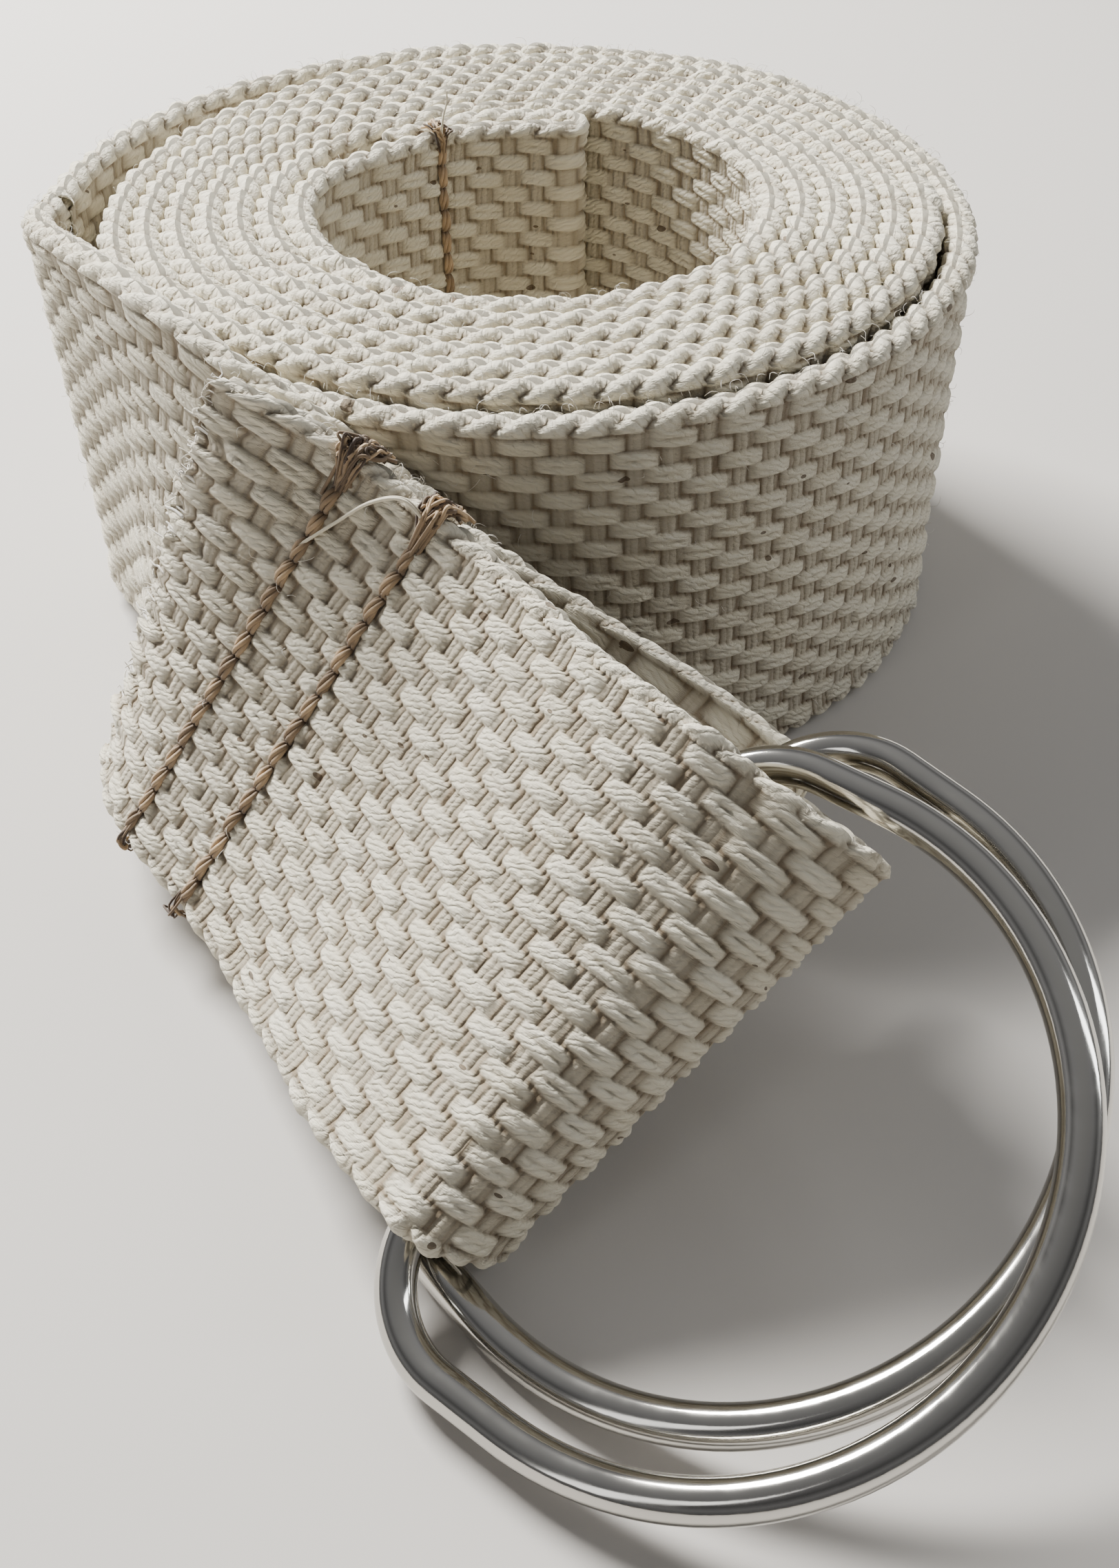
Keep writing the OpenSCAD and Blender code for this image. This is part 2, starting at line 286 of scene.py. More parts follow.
def surface(y, outline):
    """Points of the webbing's surface for each station y and outline row, with its details, and a mark of
    how deep each point lies, which the material uses for painted shade.
    """
    low, high, n = along_webbing(y)
    across = unit(high - low)
    span = np.linalg.norm(high - low, axis=1)[:, None] / WIDTH
    a, b, da, db, edge = [outline[:, k][None, :] for k in range(5)]
    yy = y[:, None]
    front, back = weave(a + 0 * yy, yy + 0 * a, 0), weave(a + 0 * yy, yy + 0 * a, 1)
    swell = (EDGE_CORE - CORE) * ramp((np.abs(a) - WIDTH / 2 + 2.6) / 1.7) * (edge == 0)
    h = np.where(b > 0, front, back) * (edge == 0)
    upper = (a > 0).astype(int)
    h = h + (edge > 0) * np.where(upper == 1, selvedge(yy, b, 1), selvedge(yy, b, 0))
    # How deep each point lies below the floats and lobes: the material colours the low places darker by it,
    # as painted shade
    depth = np.clip(1 - h / np.where(edge > 0, 0.50, RELIEF * 0.9), 0, 1)
    press = pressed(yy, a)
    loop = (ramp((yy - strap_run(LOOP_FROM)) / LOOP_EASE) * ramp((flap_run(LOOP_FROM) - yy) / LOOP_EASE)
            * np.clip(0.5 + b / EDGE_CORE, 0, 1))
    swell = swell * (1 - loop)
    h = h * (1 - 0.6 * press) * (1 - 0.75 * loop) - 0.35 * press ** 2 + swell - 0.10 * loop
    frayed = ramp((yy - TOTAL + FRAY_AT) / FRAY_AT) + ramp((FRAY_AT_HEM - yy) / FRAY_AT_HEM)
    h = h - 0.35 * frayed * CORE * (0.6 + 0.4 * np.sin(a * 2.9))
    across_mm = (a + da * h) * span
    through_mm = b + db * h
    ragged = 0.5 * np.sin(a * 0.9 + 0.6) + 0.4 * np.sin(a * 2.3) + 0.2 * np.sin(a * 5.1)
    shift = ragged * ramp((yy - TOTAL + RAGGED_FROM) / RAGGED_FROM)
    middle = (low + high)[:, None] / 2
    ahead = unit(np.gradient((low + high) / 2, y, axis=0))
    points = (middle + across[:, None] * across_mm[..., None] + n[:, None] * through_mm[..., None]
              + ahead[:, None] * shift[..., None])
    # press ** 6 lifts the mark over 1 at the needle holes, which the material colours near black as painted
    # shade
    return points, np.clip(depth + 1.2 * press ** 6, 0, 2)


def build_mesh(name, points, faces, uv=None, values=None):
    """A smooth mesh from points in millimetres, with each value as an attribute of its points."""
    me = bpy.data.meshes.new(name)
    me.vertices.add(len(points))
    me.vertices.foreach_set("co", (np.asarray(points, np.float32) * MM).ravel())
    sizes = np.concatenate([np.full(len(f), f.shape[1], np.int32) for f in faces])
    loops = np.concatenate([f.ravel() for f in faces]).astype(np.int32)
    me.loops.add(len(loops))
    me.loops.foreach_set("vertex_index", loops)
    me.polygons.add(len(sizes))
    starts = np.concatenate([[0], np.cumsum(sizes)[:-1]]).astype(np.int32)
    me.polygons.foreach_set("loop_start", starts)
    me.polygons.foreach_set("use_smooth", np.ones(len(sizes), bool))
    if uv is not None:
        for n in range(2):
            layer = me.attributes.new("weave_" + "xy"[n], "FLOAT", "POINT")
            layer.data.foreach_set("value", np.asarray(uv[:, n], np.float32))
    for key, v in (values or {}).items():
        layer = me.attributes.new(key, "FLOAT", "POINT")
        layer.data.foreach_set("value", np.asarray(v, np.float32))
    me.update(calc_edges=True)
    me.validate()
    o = bpy.data.objects.new(name, me)
    bpy.context.scene.collection.objects.link(o)
    return o


INNER_STEP, HIDDEN_STEP, OUTER_STEP, JOIN = 0.36, 0.40, 0.33, 0.2      # steps along the webbing
OUTER_RADIUS = 38.5   # about the radius of the outermost turn
INNER_TURNS, OUTER_TURNS = 1.12, 1.08      # turns that are fine at the hole and on the outside
FACE_APART = 60       # shifts the pattern on the back, so that it isn't the front's


def turned(ring, flip):
    """The points of a face, in reverse where it looks the other way."""
    return ring[::-1] if flip else ring


def webbing_mesh():
    """The strip: fine where its faces show, at the hole, the outermost turn and the loose end."""
    full_turn = 2 * math.pi
    inner_end = ROLL_RUN + full_turn * (HOLE_RADIUS + 2) * INNER_TURNS
    outer_start = LOOSE_RUN - full_turn * OUTER_RADIUS * OUTER_TURNS
    scale = 1
    stretches = [
        (DENSE, np.arange(0, inner_end, INNER_STEP * scale)),
        (SPARSE, np.arange(inner_end + JOIN, outer_start, HIDDEN_STEP * scale)),
        (DENSE, np.append(np.arange(outer_start + JOIN, TOTAL - 0.1, OUTER_STEP * scale), TOTAL)),
    ]
    bend = len(BEND)
    dense_of = np.concatenate([np.where(keep[::-1])[0], FINE + np.arange(bend),
                               FINE + bend + np.where(keep)[0], 2 * FINE + bend + np.arange(bend)])
    points, uv, depth, faces, rings = [], [], [], [], []
    base = 0
    for outline, y in stretches:
        p, d = surface(y, outline)
        n, m = p.shape[:2]
        points.append(p.reshape(-1, 3))
        depth.append(d.ravel())
        along = np.repeat(y, m)
        girth = np.tile(outline[:, 0] + np.where(outline[:, 1] < 0, FACE_APART, 0), n)
        uv.append(np.stack([girth, along], -1))
        i = base + np.arange(n - 1)[:, None] * m + np.arange(m)[None]
        j = base + np.arange(n - 1)[:, None] * m + np.roll(np.arange(m), -1)[None]
        faces.append(np.stack([i, j, j + m, i + m], -1).reshape(-1, 4))
        rings.append((base + np.arange(m), base + (n - 1) * m + np.arange(m)))
        base += n * m
    polys = [np.concatenate(faces)]
    caps = []      # the faces that join fine and sparse stretches, then those of the two cut ends
    for (dense, sparse, flip) in ((rings[0][1], rings[1][0], False), (rings[2][0], rings[1][1], True)):
        m = len(sparse)
        for k in range(m):
            a, b = dense_of[k], dense_of[(k + 1) % m]
            span = [(a + q) % len(dense) for q in range((b - a) % len(dense) + 1)]
            ring = [dense[q] for q in span] + [sparse[(k + 1) % m], sparse[k]]
            caps.append(turned(ring, flip))
    for ring, flip in ((rings[0][0], True), (rings[2][1], False)):
        top, bottom = ring[:FINE], ring[FINE + bend:2 * FINE + bend][::-1]
        left, right = ring[FINE:FINE + bend], ring[2 * FINE + bend:]
        for k in range(FINE - 1):
            caps.append(turned([top[k], top[k + 1], bottom[k + 1], bottom[k]], flip))
        caps.append(turned([top[-1], *left, bottom[-1]], flip))
        caps.append(turned([bottom[0], *right, top[0]], flip))
    by_size = {}
    for c in caps:
        by_size.setdefault(len(c), []).append(c)
    polys += [np.array(v) for _, v in sorted(by_size.items())]
    # The depth attribute carries the mask for the painted shade in the valleys and needle holes
    return build_mesh("webbing_strip", np.concatenate(points), polys, np.concatenate(uv),
                      {"depth": np.concatenate(depth)})


# ---- threads and fibres -----------------------------------------------------------------
class Tubes:
    """Collects tubes along given lines into one mesh."""

    def __init__(self):
        self.points, self.faces, self.caps, self.tone, self.count = [], [], [], [], 0

    def add(self, line, radius, sides, tone):
        """One tube with closed ends round a line of points."""
        line = np.asarray(line, float)
        n = len(line)
        r = np.broadcast_to(np.asarray(radius, float), n)
        t = unit(np.gradient(line, axis=0))
        u = unit(np.cross(t, np.array([0.31, 0.23, 0.92])))      # a slanting aid, which lines rarely follow
        v = np.cross(t, u)
        a = np.arange(sides) / sides * 2 * math.pi
        ring = u[:, None] * np.cos(a)[None, :, None] + v[:, None] * np.sin(a)[None, :, None]
        self.points.append((line[:, None] + ring * r[:, None, None]).reshape(-1, 3))
        i = self.count + np.arange(n - 1)[:, None] * sides + np.arange(sides)[None]
        j = self.count + np.arange(n - 1)[:, None] * sides + np.roll(np.arange(sides), -1)[None]
        self.faces.append(np.stack([i, j, j + sides, i + sides], -1).reshape(-1, 4))
        self.tone.append(np.repeat(np.broadcast_to(tone, n), sides))
        self.caps += [(self.count + np.arange(sides))[::-1],
                      self.count + (n - 1) * sides + np.arange(sides)]
        self.count += n * sides

    def build(self, name):
        polys = self.faces + [c[None] for c in self.caps]
        by_size = {}
        for p in polys:
            by_size.setdefault(p.shape[1], []).append(p)
        return build_mesh(name, np.concatenate(self.points),
                          [np.concatenate(v) for _, v in sorted(by_size.items())],
                          None, {"tone": np.concatenate(self.tone)})


def smooth_line(control, n):
    """n points on a smooth curve through the control points."""
    control = np.asarray(control, float)
    u = np.linspace(0, len(control) - 1, n)
    return np.stack([through(control[:, k], u) for k in range(3)], -1)


def face_point(y, x, height):
    """A point over the webbing's + face (or - face, for a negative height)."""
    low, high, n = along_webbing(np.atleast_1d(np.asarray(y, float)))
    x = np.atleast_1d(np.asarray(x, float))[:, None]
    return (low + high) / 2 + unit(high - low) * x + n * np.atleast_1d(height)[:, None]


def stitch_row(y, seed):
    """One thread of a lockstitch row: a short twisted stitch between each two needle holes."""
    r = np.random.default_rng(seed)
    tubes = Tubes()
    count = round(-2 * FIRST_HOLE / STITCH)
    t = np.linspace(0, 1, 15)
    arch = np.sin(math.pi * t)
    for k in range(count):
        x = FIRST_HOLE + (k + t) * STITCH
        lift = 0.80 + 0.40 * arch ** 0.5 * (1 + 0.10 * r.normal()) - 0.35 * np.abs(2 * t - 1) ** 7
        wander = 0.07 * r.normal() * arch
        twist = r.uniform(0, math.pi) + t * math.pi * 0.8
        shade = r.uniform(0.25, 0.65)
        for strand in range(4):
            a = twist + strand * math.pi / 2
            bundle = 0.33 * (0.55 + 0.45 * arch ** 0.5)
            line = face_point(y + wander + np.cos(a) * bundle, x, -(lift + 0.45 * np.sin(a) * bundle))
            # The tone falls nearly to 0 at each stitch's ends: painted shade where the thread sinks into
            # the needle holes. shade is a random tone for each stitch
            tubes.add(line, 0.22 * (0.7 + 0.3 * arch ** 0.5), 7,
                      (shade + 0.25 * r.random()) * (0.02 + 0.98 * arch ** 0.8))
    return tubes


def tuft(tubes, y, size, count, seed, edge=1):
    """The tangle where a row's threads wrap over the edge, with painted shade inside and painted light
    towards the pale tips.
    """
    r = np.random.default_rng(seed)
    top = edge * (WIDTH / 2)
    for _ in range(count):
        spread = r.normal(0, 0.34 * size)
        core = r.random() < 0.45
        start = (y + 0.26 * r.normal(), top - edge * r.uniform(1.4, 4.4), 0.9 + 0.25 * r.random())
        over = (y + spread, top - edge * r.uniform(0.2, 1.1), 1.2 + size * r.uniform(0.1, 0.65))
        curl = (y + 0.8 * spread + 0.5 * r.normal(), top + edge * r.uniform(-0.3, 0.7),
                1.0 + size * r.uniform(-0.2, 0.6))
        tip = (y + 1.2 * spread + 0.3 * r.normal(), top + edge * r.uniform(0.1, 0.9), r.uniform(-0.4, 1.0))
        end = (y + spread + 0.6 * r.normal(), top + edge * r.uniform(-0.1, 0.8), -r.uniform(0.0, 1.3))
        pts = [face_point(a, b, -c)[0] for a, b, c in (start, over, curl, tip, end)]
        # Painted shade: the core threads stay dark, and the others go from dark at the base to painted
        # light at the tips
        tone = np.full(20, r.uniform(0.0, 0.25)) if core else np.linspace(0.25, r.uniform(0.8, 1.5), 20)
        tubes.add(smooth_line(pts, 20), r.uniform(0.07, 0.17), 6, tone)


def ride(o, material):
    """Gives a piece of the strap its material and body."""
    o.data.materials.append(material)
    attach(o, "strap")
    return o


# ---- materials ---------------------------------------------------------------------------
class Nodes:
    """A small helper that makes and links shader nodes."""

    def __init__(self, name):
        self.mat = bpy.data.materials.new(name)
        self.mat.use_nodes = True
        self.tree = self.mat.node_tree
        self.bsdf = self.tree.nodes["Principled BSDF"]

    def new(self, kind, **settings):
        n = self.tree.nodes.new("ShaderNode" + kind)
        for k, v in settings.items():
            if k in n.inputs:
                n.inputs[k].default_value = v
            else:
                setattr(n, k, v)
        return n

    def link(self, a, b):
        self.tree.links.new(a, b)

    def math(self, op, a, b=0.0, c=0.0):
        n = self.tree.nodes.new("ShaderNodeMath")
        n.operation = op
        for i, x in enumerate((a, b, c)):
            if isinstance(x, (int, float)):
                n.inputs[i].default_value = x
            else:
                self.link(x, n.inputs[i])
        return n.outputs[0]

    def mix(self, factor, a, b):
        n = self.tree.nodes.new("ShaderNodeMix")
        n.data_type = "RGBA"
        for key, x in (("Factor", factor), ("A", a), ("B", b)):
            socket = [s for s in n.inputs if s.name == key and (key == "Factor" or s.type == "RGBA")][0]
            if isinstance(x, tuple):
                socket.default_value = (*x, 1)
            elif isinstance(x, (int, float)):
                socket.default_value = x
            else:
                self.link(x, socket)
        return [s for s in n.outputs if s.type == "RGBA"][0]

    def attribute(self, name):
        return self.new("Attribute", attribute_name=name).outputs["Fac"]


def cotton():
    """Unbleached cotton: twisted yarns, with painted shade between the floats, in the grooves between the
    plies and in the needle holes, and a few dark specks.
    """
    m = Nodes("cotton_webbing")
    x, y, depth = m.attribute("weave_x"), m.attribute("weave_y"), m.attribute("depth")
    place = m.new("CombineXYZ")
    m.link(x, place.inputs[0])
    m.link(y, place.inputs[1])

    def noise(scale, across, along, turn=0.0):
        """Noise that is stretched over the webbing's surface."""
        mapping = m.new("Mapping")
        mapping.inputs["Rotation"].default_value = (0, 0, turn)
        mapping.inputs["Scale"].default_value = (across, along, 1)
        m.link(place.outputs[0], mapping.inputs["Vector"])
        n = m.new("TexNoise")
        n.inputs["Scale"].default_value = scale
        n.inputs["Detail"].default_value = 3.0
        m.link(mapping.outputs[0], n.inputs["Vector"])
        return n.outputs["Fac"]

    fibres = noise(1.0, 16.0, 2.6, 0.42)
    lumps = noise(0.45, 1.0, 0.5)
    patches = noise(0.05, 1.0, 1.0)
    waver = noise(0.9, 1.0, 1.0)

    def cord(across, along, bend):
        """Rounded cords side by side, seen through the noise that bends them."""
        run = m.math("ADD", m.math("MULTIPLY", x, across), m.math("MULTIPLY", y, along))
        run = m.math("ADD", run, m.math("MULTIPLY", waver, bend))
        return m.math("ABSOLUTE", m.math("SINE", run))

    def specks(scale, size, share, turn):
        """1 in small spots round some of the cells' middles, 0 elsewhere."""
        longer = m.new("Mapping")
        longer.inputs["Rotation"].default_value = (0, 0, turn)
        longer.inputs["Scale"].default_value = (1.0, 0.5, 1)
        m.link(place.outputs[0], longer.inputs["Vector"])
        cell = m.new("TexVoronoi")
        cell.inputs["Scale"].default_value = scale
        m.link(longer.outputs[0], cell.inputs["Vector"])
        return m.math("MULTIPLY", m.math("LESS_THAN", cell.outputs["Distance"], size),
                      m.math("GREATER_THAN", cell.outputs["Color"], share))

    # deep marks how low the surface lies: it sets where the fine weft shows, and the painted shade in the
    # valleys below
    deep = m.math("MINIMUM", m.math("POWER", depth, 1.5), 1.0)
    low = m.math("MULTIPLY_ADD", deep, 1.6, -0.35)
    low = m.math("MINIMUM", m.math("MAXIMUM", low, 0.0), 1.0)
    plies = cord(6.0, 2.9, 6.5)      # the twisted plies of a float
    weft = cord(0.35, 5.2, 2.0)      # the fine yarns that show between floats
    plies = m.math("MULTIPLY_ADD", plies, 0.75, m.math("MULTIPLY", lumps, 0.25))
    twist = m.math("ADD", m.math("MULTIPLY", plies, m.math("SUBTRACT", 1.0, low)),
                   m.math("MULTIPLY", m.math("MULTIPLY", weft, low), 1.5))
    warm = m.mix(lumps, (0.76, 0.695, 0.525), (0.88, 0.85, 0.735))
    warm = m.mix(m.math("MULTIPLY", patches, 0.35), warm, (0.78, 0.71, 0.545))
    # Painted shade in the grooves between the plies, where the cords' height is low
    warm = m.mix(m.math("MULTIPLY", m.math("SUBTRACT", 1.0, twist), 0.22), warm, (0.55, 0.47, 0.33))
    # Painted shade: the valleys between the floats and the selvedge's lobes are coloured dark brown
    warm = m.mix(m.math("MULTIPLY", deep, 0.90), warm, (0.19, 0.13, 0.072))
    # Painted shade: the needle holes, where depth goes over 1, are coloured near black
    hole = m.math("MAXIMUM", m.math("SUBTRACT", depth, 1.05), 0.0)
    warm = m.mix(m.math("MINIMUM", m.math("MULTIPLY", hole, 1.4), 0.9), warm, (0.05, 0.03, 0.018))
    seed = m.math("MAXIMUM", specks(0.29, 0.080, 0.40, 0.5), specks(0.50, 0.075, 0.50, -0.8))
    warm = m.mix(m.math("MULTIPLY", seed, 0.85), warm, (0.11, 0.07, 0.038))
    m.link(warm, m.bsdf.inputs["Base Color"])
    m.bsdf.inputs["Roughness"].default_value = 0.92
    m.bsdf.inputs["Specular IOR Level"].default_value = 0.22
    m.bsdf.inputs["Sheen Weight"].default_value = 0.15
    m.bsdf.inputs["Sheen Roughness"].default_value = 0.5
    height = m.math("ADD", twist, m.math("MULTIPLY", fibres, 1.1))
    bump = m.new("Bump")
    bump.inputs["Strength"].default_value = 0.9
    bump.inputs["Distance"].default_value = 0.00015
    m.link(height, bump.inputs["Height"])
    m.link(bump.outputs[0], m.bsdf.inputs["Normal"])
    return m.mat


def thread(name, dark, light):
    """Spun fibre that goes from dark to light with each tube's tone."""
    m = Nodes(name)
    where = m.new("TexCoord").outputs["Object"]
    n = m.new("TexNoise")
    n.inputs["Scale"].default_value = 2600
    n.inputs["Detail"].default_value = 3
    m.link(where, n.inputs["Vector"])
    wide = m.new("TexNoise")
    wide.inputs["Scale"].default_value = 420
    m.link(where, wide.inputs["Vector"])
    # The tone attribute carries painted shade at the stitches' ends and inside the tufts, and painted light
    # at the tufts' tips, besides random tone
    tone = m.math("MULTIPLY", m.attribute("tone"), m.math("MULTIPLY_ADD", wide.outputs["Fac"], 1.1, 0.75))
    m.link(m.mix(tone, dark, light), m.bsdf.inputs["Base Color"])
    m.bsdf.inputs["Roughness"].default_value = 0.7
    m.bsdf.inputs["Sheen Weight"].default_value = 0.2
    bump = m.new("Bump")
    bump.inputs["Strength"].default_value = 0.6
    bump.inputs["Distance"].default_value = 0.00008
    m.link(n.outputs["Fac"], bump.inputs["Height"])
    m.link(bump.outputs[0], m.bsdf.inputs["Normal"])
    return m.mat


def nickel():
    """Polished nickel plate with slight wear."""
    m = Nodes("polished_nickel")
    where = m.new("TexCoord").outputs["Object"]
    stretched = m.new("Mapping")
    stretched.inputs["Scale"].default_value = (1, 1, 6)
    m.link(where, stretched.inputs["Vector"])
    wear = m.new("TexNoise")
    wear.inputs["Scale"].default_value = 260
    wear.inputs["Detail"].default_value = 5
    m.link(stretched.outputs[0], wear.inputs["Vector"])
    dull = m.new("TexNoise")
    dull.inputs["Scale"].default_value = 45
    m.link(where, dull.inputs["Vector"])
    m.link(m.mix(dull.outputs["Fac"], (0.48, 0.465, 0.43), (0.66, 0.645, 0.61)),
           m.bsdf.inputs["Base Color"])
    m.bsdf.inputs["Metallic"].default_value = 1.0
    m.link(m.math("ADD", m.math("MULTIPLY", wear.outputs["Fac"], 0.14), 0.05),
           m.bsdf.inputs["Roughness"])
    bump = m.new("Bump")
    bump.inputs["Strength"].default_value = 0.12
    bump.inputs["Distance"].default_value = 0.00006
    m.link(wear.outputs["Fac"], bump.inputs["Height"])
    m.link(bump.outputs[0], m.bsdf.inputs["Normal"])
    return m.mat


COTTON = cotton()
# THREAD's near-black end gives the painted shade at the stitches' ends and inside the tufts
THREAD = thread("tan_thread", (0.040, 0.020, 0.010), (0.50, 0.35, 0.205))
PALE = thread("pale_thread", (0.42, 0.36, 0.26), (0.70, 0.64, 0.50))
FIBRE = thread("cotton_fibre", (0.62, 0.57, 0.47), (0.82, 0.79, 0.72))
NICKEL = nickel()

# ---- the webbing ----------------------------------------------------------------------------
strip = ride(webbing_mesh(), COTTON)
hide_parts("rolled_webbing", "loose_end_webbing")

# ---- stitching ------------------------------------------------------------------------------
# Each row's place along the webbing and its seed
rows = {
    "loop_row_1_needle_thread": (flap_run(ROW_1), 11),
    "loop_row_1_bobbin_thread": (strap_run(ROW_1), 12),
    "loop_row_2_needle_thread": (flap_run(ROW_2), 13),
    "loop_row_2_bobbin_thread": (strap_run(ROW_2), 14),
    "hem_row_needle_thread": (ROLL_RUN + HEM_ROW, 15),
    "hem_row_bobbin_thread": (HEM_LENGTH - HEM_ROW, 16),
}
for name, (y, seed) in rows.items():
    tubes = stitch_row(y, seed)
    if name == "hem_row_needle_thread":
        tuft(tubes, y, 0.8, 12, seed + 40)
    elif "needle" in name:
        tuft(tubes, y, 1.3, 46, seed + 40)
        tuft(tubes, y, 0.6, 6, seed + 60, -1)
    o = ride(tubes.build(name.replace("_thread", "_stitches")), THREAD)
    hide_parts(name)

# The loose thread that arcs from the second row's tangle to the first row
loose = Tubes()
y1, y2 = flap_run(ROW_1), flap_run(ROW_2)
arc = [face_point(y2 + (y1 - y2) * k, x, -h)[0] for k, x, h in (
    (-0.05, 17.6, 1.4), (0.25, 18.3, 2.6), (0.55, 16.6, 2.5), (0.8, 13.6, 1.7), (1.02, 10.4, 1.2))]
loose.add(smooth_line(arc, 48), 0.13, 7, 0.8)
loose.add(smooth_line(np.array(arc) + [0.1, 0.12, 0.05], 48), 0.10, 7, 0.5)
loose_thread = ride(loose.build("loose_pale_thread"), PALE)

# The end of the hem's thread, which stands up over the rim
tail = Tubes()
hem_at = ROLL_RUN + HEM_ROW
tail.add(smooth_line([face_point(hem_at + k, x, -h)[0] for k, x, h in (
    (0, 17.6, 1.2), (0.1, 19.3, 1.5), (-0.3, 20.6, 1.3), (-0.9, 21.7, 1.0), (-1.0, 22.7, 0.9))], 30),
    np.linspace(0.13, 0.07, 30), 7, 0.9)
hem_tail = ride(tail.build("hem_thread_tail"), PALE)

# ---- frayed end and fuzz ----------------------------------------------------------------------
FRAY_COUNT, FRAY_HALF, FRAY_SEED = 430, 18.3, 77
fray = Tubes()
r = np.random.default_rng(FRAY_SEED)
for _ in range(FRAY_COUNT):
    x = r.uniform(-FRAY_HALF, FRAY_HALF)
    depth_at = r.uniform(-0.9, 0.9)
    reach = r.uniform(0.15, 0.75) * (1.8 if r.random() < 0.12 else 1)
    pts = [face_point(TOTAL - 1.2, x, -depth_at)[0], face_point(TOTAL - 0.2, x, -depth_at)[0]]
    step = unit(pts[1] - pts[0])
    drop = along_webbing(np.array([TOTAL]))[2][0] * r.uniform(-0.15, 0.3)
    pts.append(pts[1] + step * reach + r.normal(0, 0.16, 3) + drop)
    pts.append(pts[2] + step * reach * 0.4 + r.normal(0, 0.30, 3) + drop)
    fray.add(smooth_line(pts, 10), np.linspace(0.13, 0.045, 10) * r.uniform(0.5, 1.2), 5, r.random())
frayed = ride(fray.build("frayed_end"), FIBRE)

OUTER_FUZZ, INNER_FUZZ, FUZZ_SEED = 2100, 900, 99
RIM_FUZZ, FACE_FUZZ = 18.7, 1.15      # where fibres start, across and through the webbing
FACES_FROM = LOOSE_RUN - 240          # from here on the webbing's faces can be seen
BARE_FROM = LOOP_FROM - 8
fuzz = Tubes()
r = np.random.default_rng(FUZZ_SEED)
places = np.concatenate([r.uniform(FACES_FROM, TOTAL, OUTER_FUZZ), r.uniform(0, FACES_FROM, INNER_FUZZ)])
for k, y in enumerate(places):
    if strap_run(BARE_FROM) < y < flap_run(BARE_FROM):
        continue        # no fuzz where the swinging rings would pass through it
    upper = r.random() < (0.75 if k < OUTER_FUZZ else 0.93)
    if upper and r.random() < 0.55:
        x, h = r.choice([RIM_FUZZ, -RIM_FUZZ], p=[0.75, 0.25]), r.uniform(-0.8, 0.8)
    else:
        x, h = r.uniform(-18, 18), r.choice([FACE_FUZZ, -FACE_FUZZ])
        if y < FACES_FROM:
            x, h = RIM_FUZZ, r.uniform(-0.8, 0.8)
    base = face_point(y, x, h)[0]
    low, high, n = [v[0] for v in along_webbing(np.array([y]))]
    sideways = unit(high - low) * (np.sign(x) if abs(x) == RIM_FUZZ else 0)
    out = unit(n * h * 0.9 + sideways + r.normal(0, 0.25, 3))
    length = r.uniform(0.35, 1.25)
    side = unit(np.cross(out, r.normal(0, 1, 3)))
    pts = [base - out * 0.15, base + out * length * 0.4 + side * 0.1 * length,
           base + out * length * 0.6 + side * 0.5 * length, base + out * length * 0.5 + side * length]
    if min(p[2] for p in pts) < 0.1:
        continue
    fuzz.add(smooth_line(pts, 7), np.linspace(0.026, 0.012, 7), 3, r.random())
lint = ride(fuzz.build("cotton_fuzz"), FIBRE)

# ---- rings --------------------------------------------------------------------------------------
for node in ("front_d_ring", "rear_d_ring"):
    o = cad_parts[node]
    o.data.materials.clear()
    o.data.materials.append(NICKEL)

# ---- floor, light and camera ----------------------------------------------------------------------
floor = bpy.data.meshes.new("floor")
floor.from_pydata([(-3, -3, 0), (3, -3, 0), (3, 3, 0), (-3, 3, 0)], [], [(0, 1, 2, 3)])
floor_object = bpy.data.objects.new("floor", floor)
bpy.context.scene.collection.objects.link(floor_object)
pale = Nodes("pale_floor")
pale.bsdf.inputs["Base Color"].default_value = (0.56, 0.535, 0.505, 1)
pale.bsdf.inputs["Roughness"].default_value = 0.8
floor.materials.append(pale.mat)
floor_object.location.z = -0.0002


def area(name, place, aim, size, power, colour=(1, 1, 1)):
    light = bpy.data.lights.new(name, "AREA")
    light.shape = "RECTANGLE"
    light.size, light.size_y = size
    light.energy = power
    light.color = colour
    o = bpy.data.objects.new(name, light)
    bpy.context.scene.collection.objects.link(o)
    z = unit(np.array(place, float) - np.array(aim, float))
    x = unit(np.cross([0.0, 0.02, 1.0], z))
    y = np.cross(z, x)
    o.matrix_world = Matrix([[x[i], y[i], z[i], place[i]] for i in range(3)] + [[0, 0, 0, 1]])
    return o


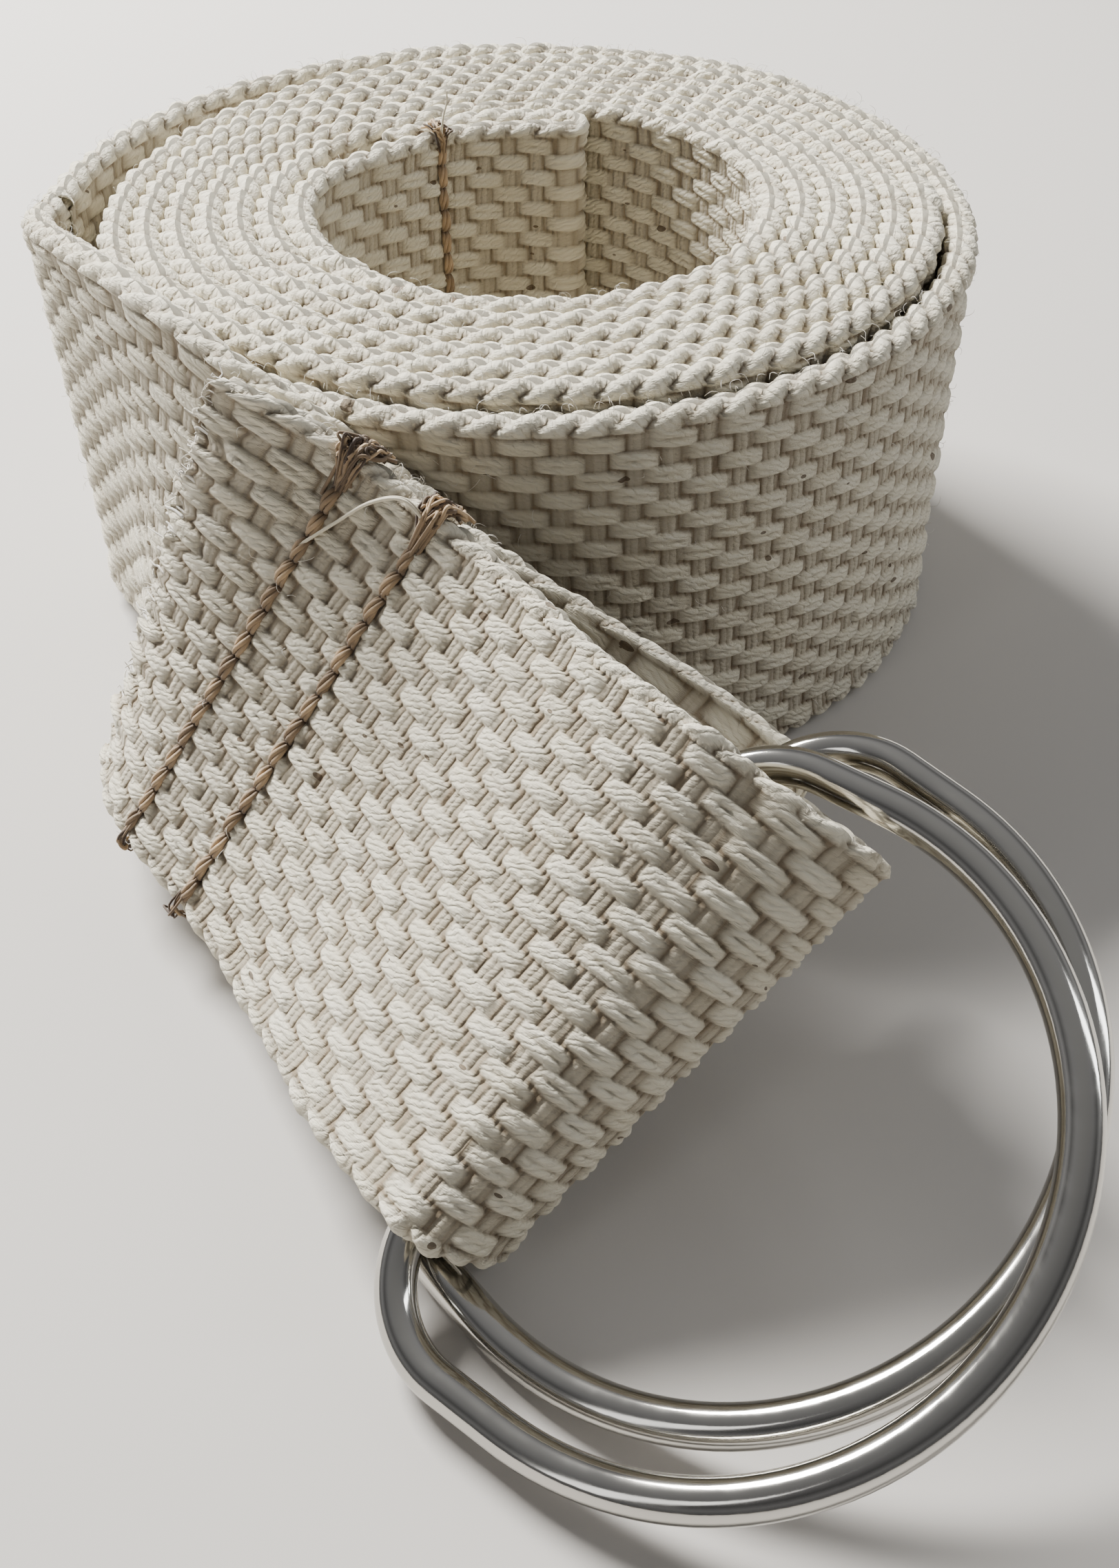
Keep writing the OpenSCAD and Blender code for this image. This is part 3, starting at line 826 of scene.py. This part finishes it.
area("key", (-0.33, 0.36, 0.47), (0, 0, 0.02), (0.28, 0.20), 18.5, (1.0, 0.985, 0.95))
area("side", (0.60, 0.02, 0.35), (0, 0, 0.02), (0.10, 0.5), 1.3, (0.95, 0.98, 1.0))
area("front", (-0.45, -0.50, 0.40), (0, -0.03, 0.02), (0.12, 0.5), 0.4)
world = bpy.data.worlds.new("studio")
bpy.context.scene.world = world
world.use_nodes = True
sky = world.node_tree
background = sky.nodes["Background"]
background.inputs["Strength"].default_value = 0.36
split = sky.nodes.new("ShaderNodeSeparateXYZ")
sky.links.new(sky.nodes.new("ShaderNodeTexCoord").outputs["Generated"], split.inputs[0])
bands = sky.nodes.new("ShaderNodeValToRGB")
sky.links.new(split.outputs["Z"], bands.inputs["Fac"])
behind = sky.nodes.new("ShaderNodeMapRange")     # darker before the strap than behind it
sky.links.new(split.outputs["Y"], behind.inputs["Value"])
for key, value in (("From Min", -0.5), ("From Max", 0.6), ("To Min", 0.50), ("To Max", 1.0)):
    behind.inputs[key].default_value = value
shaded = sky.nodes.new("ShaderNodeVectorMath")
shaded.operation = "SCALE"
sky.links.new(bands.outputs["Color"], shaded.inputs[0])
sky.links.new(behind.outputs[0], shaded.inputs["Scale"])
sky.links.new(shaded.outputs[0], background.inputs["Color"])
for at, shade in ((0.0, 0.42), (0.30, 0.50), (0.55, 0.40), (0.80, 0.90), (1.0, 1.0)):
    spot = bands.color_ramp.elements.new(at) if 0 < at < 1 else bands.color_ramp.elements[int(at)]
    spot.color = (shade, shade, shade * 1.03, 1)

CAM = {"at": (0.0, -0.1445, 0.0974), "pitch": 42.47, "yaw": 0.90, "roll": -0.46, "lens": 37.2}
p, w, q = [math.radians(CAM[k]) for k in ("pitch", "yaw", "roll")]
ahead = np.array([math.sin(w) * math.cos(p), math.cos(w) * math.cos(p), -math.sin(p)])
right = np.array([math.cos(w), -math.sin(w), 0.0])
above = np.cross(right, ahead)
right, above = (math.cos(q) * right + math.sin(q) * above,
                -math.sin(q) * right + math.cos(q) * above)
camera = bpy.data.cameras.new("camera")
camera.lens = CAM["lens"]
camera.sensor_width = 36
camera.clip_start = 0.005
camera_object = bpy.data.objects.new("camera", camera)
bpy.context.scene.collection.objects.link(camera_object)
camera_object.matrix_world = Matrix(
    [[right[i], above[i], -ahead[i], CAM["at"][i]] for i in range(3)] + [[0, 0, 0, 1]])
bpy.context.scene.camera = camera_object
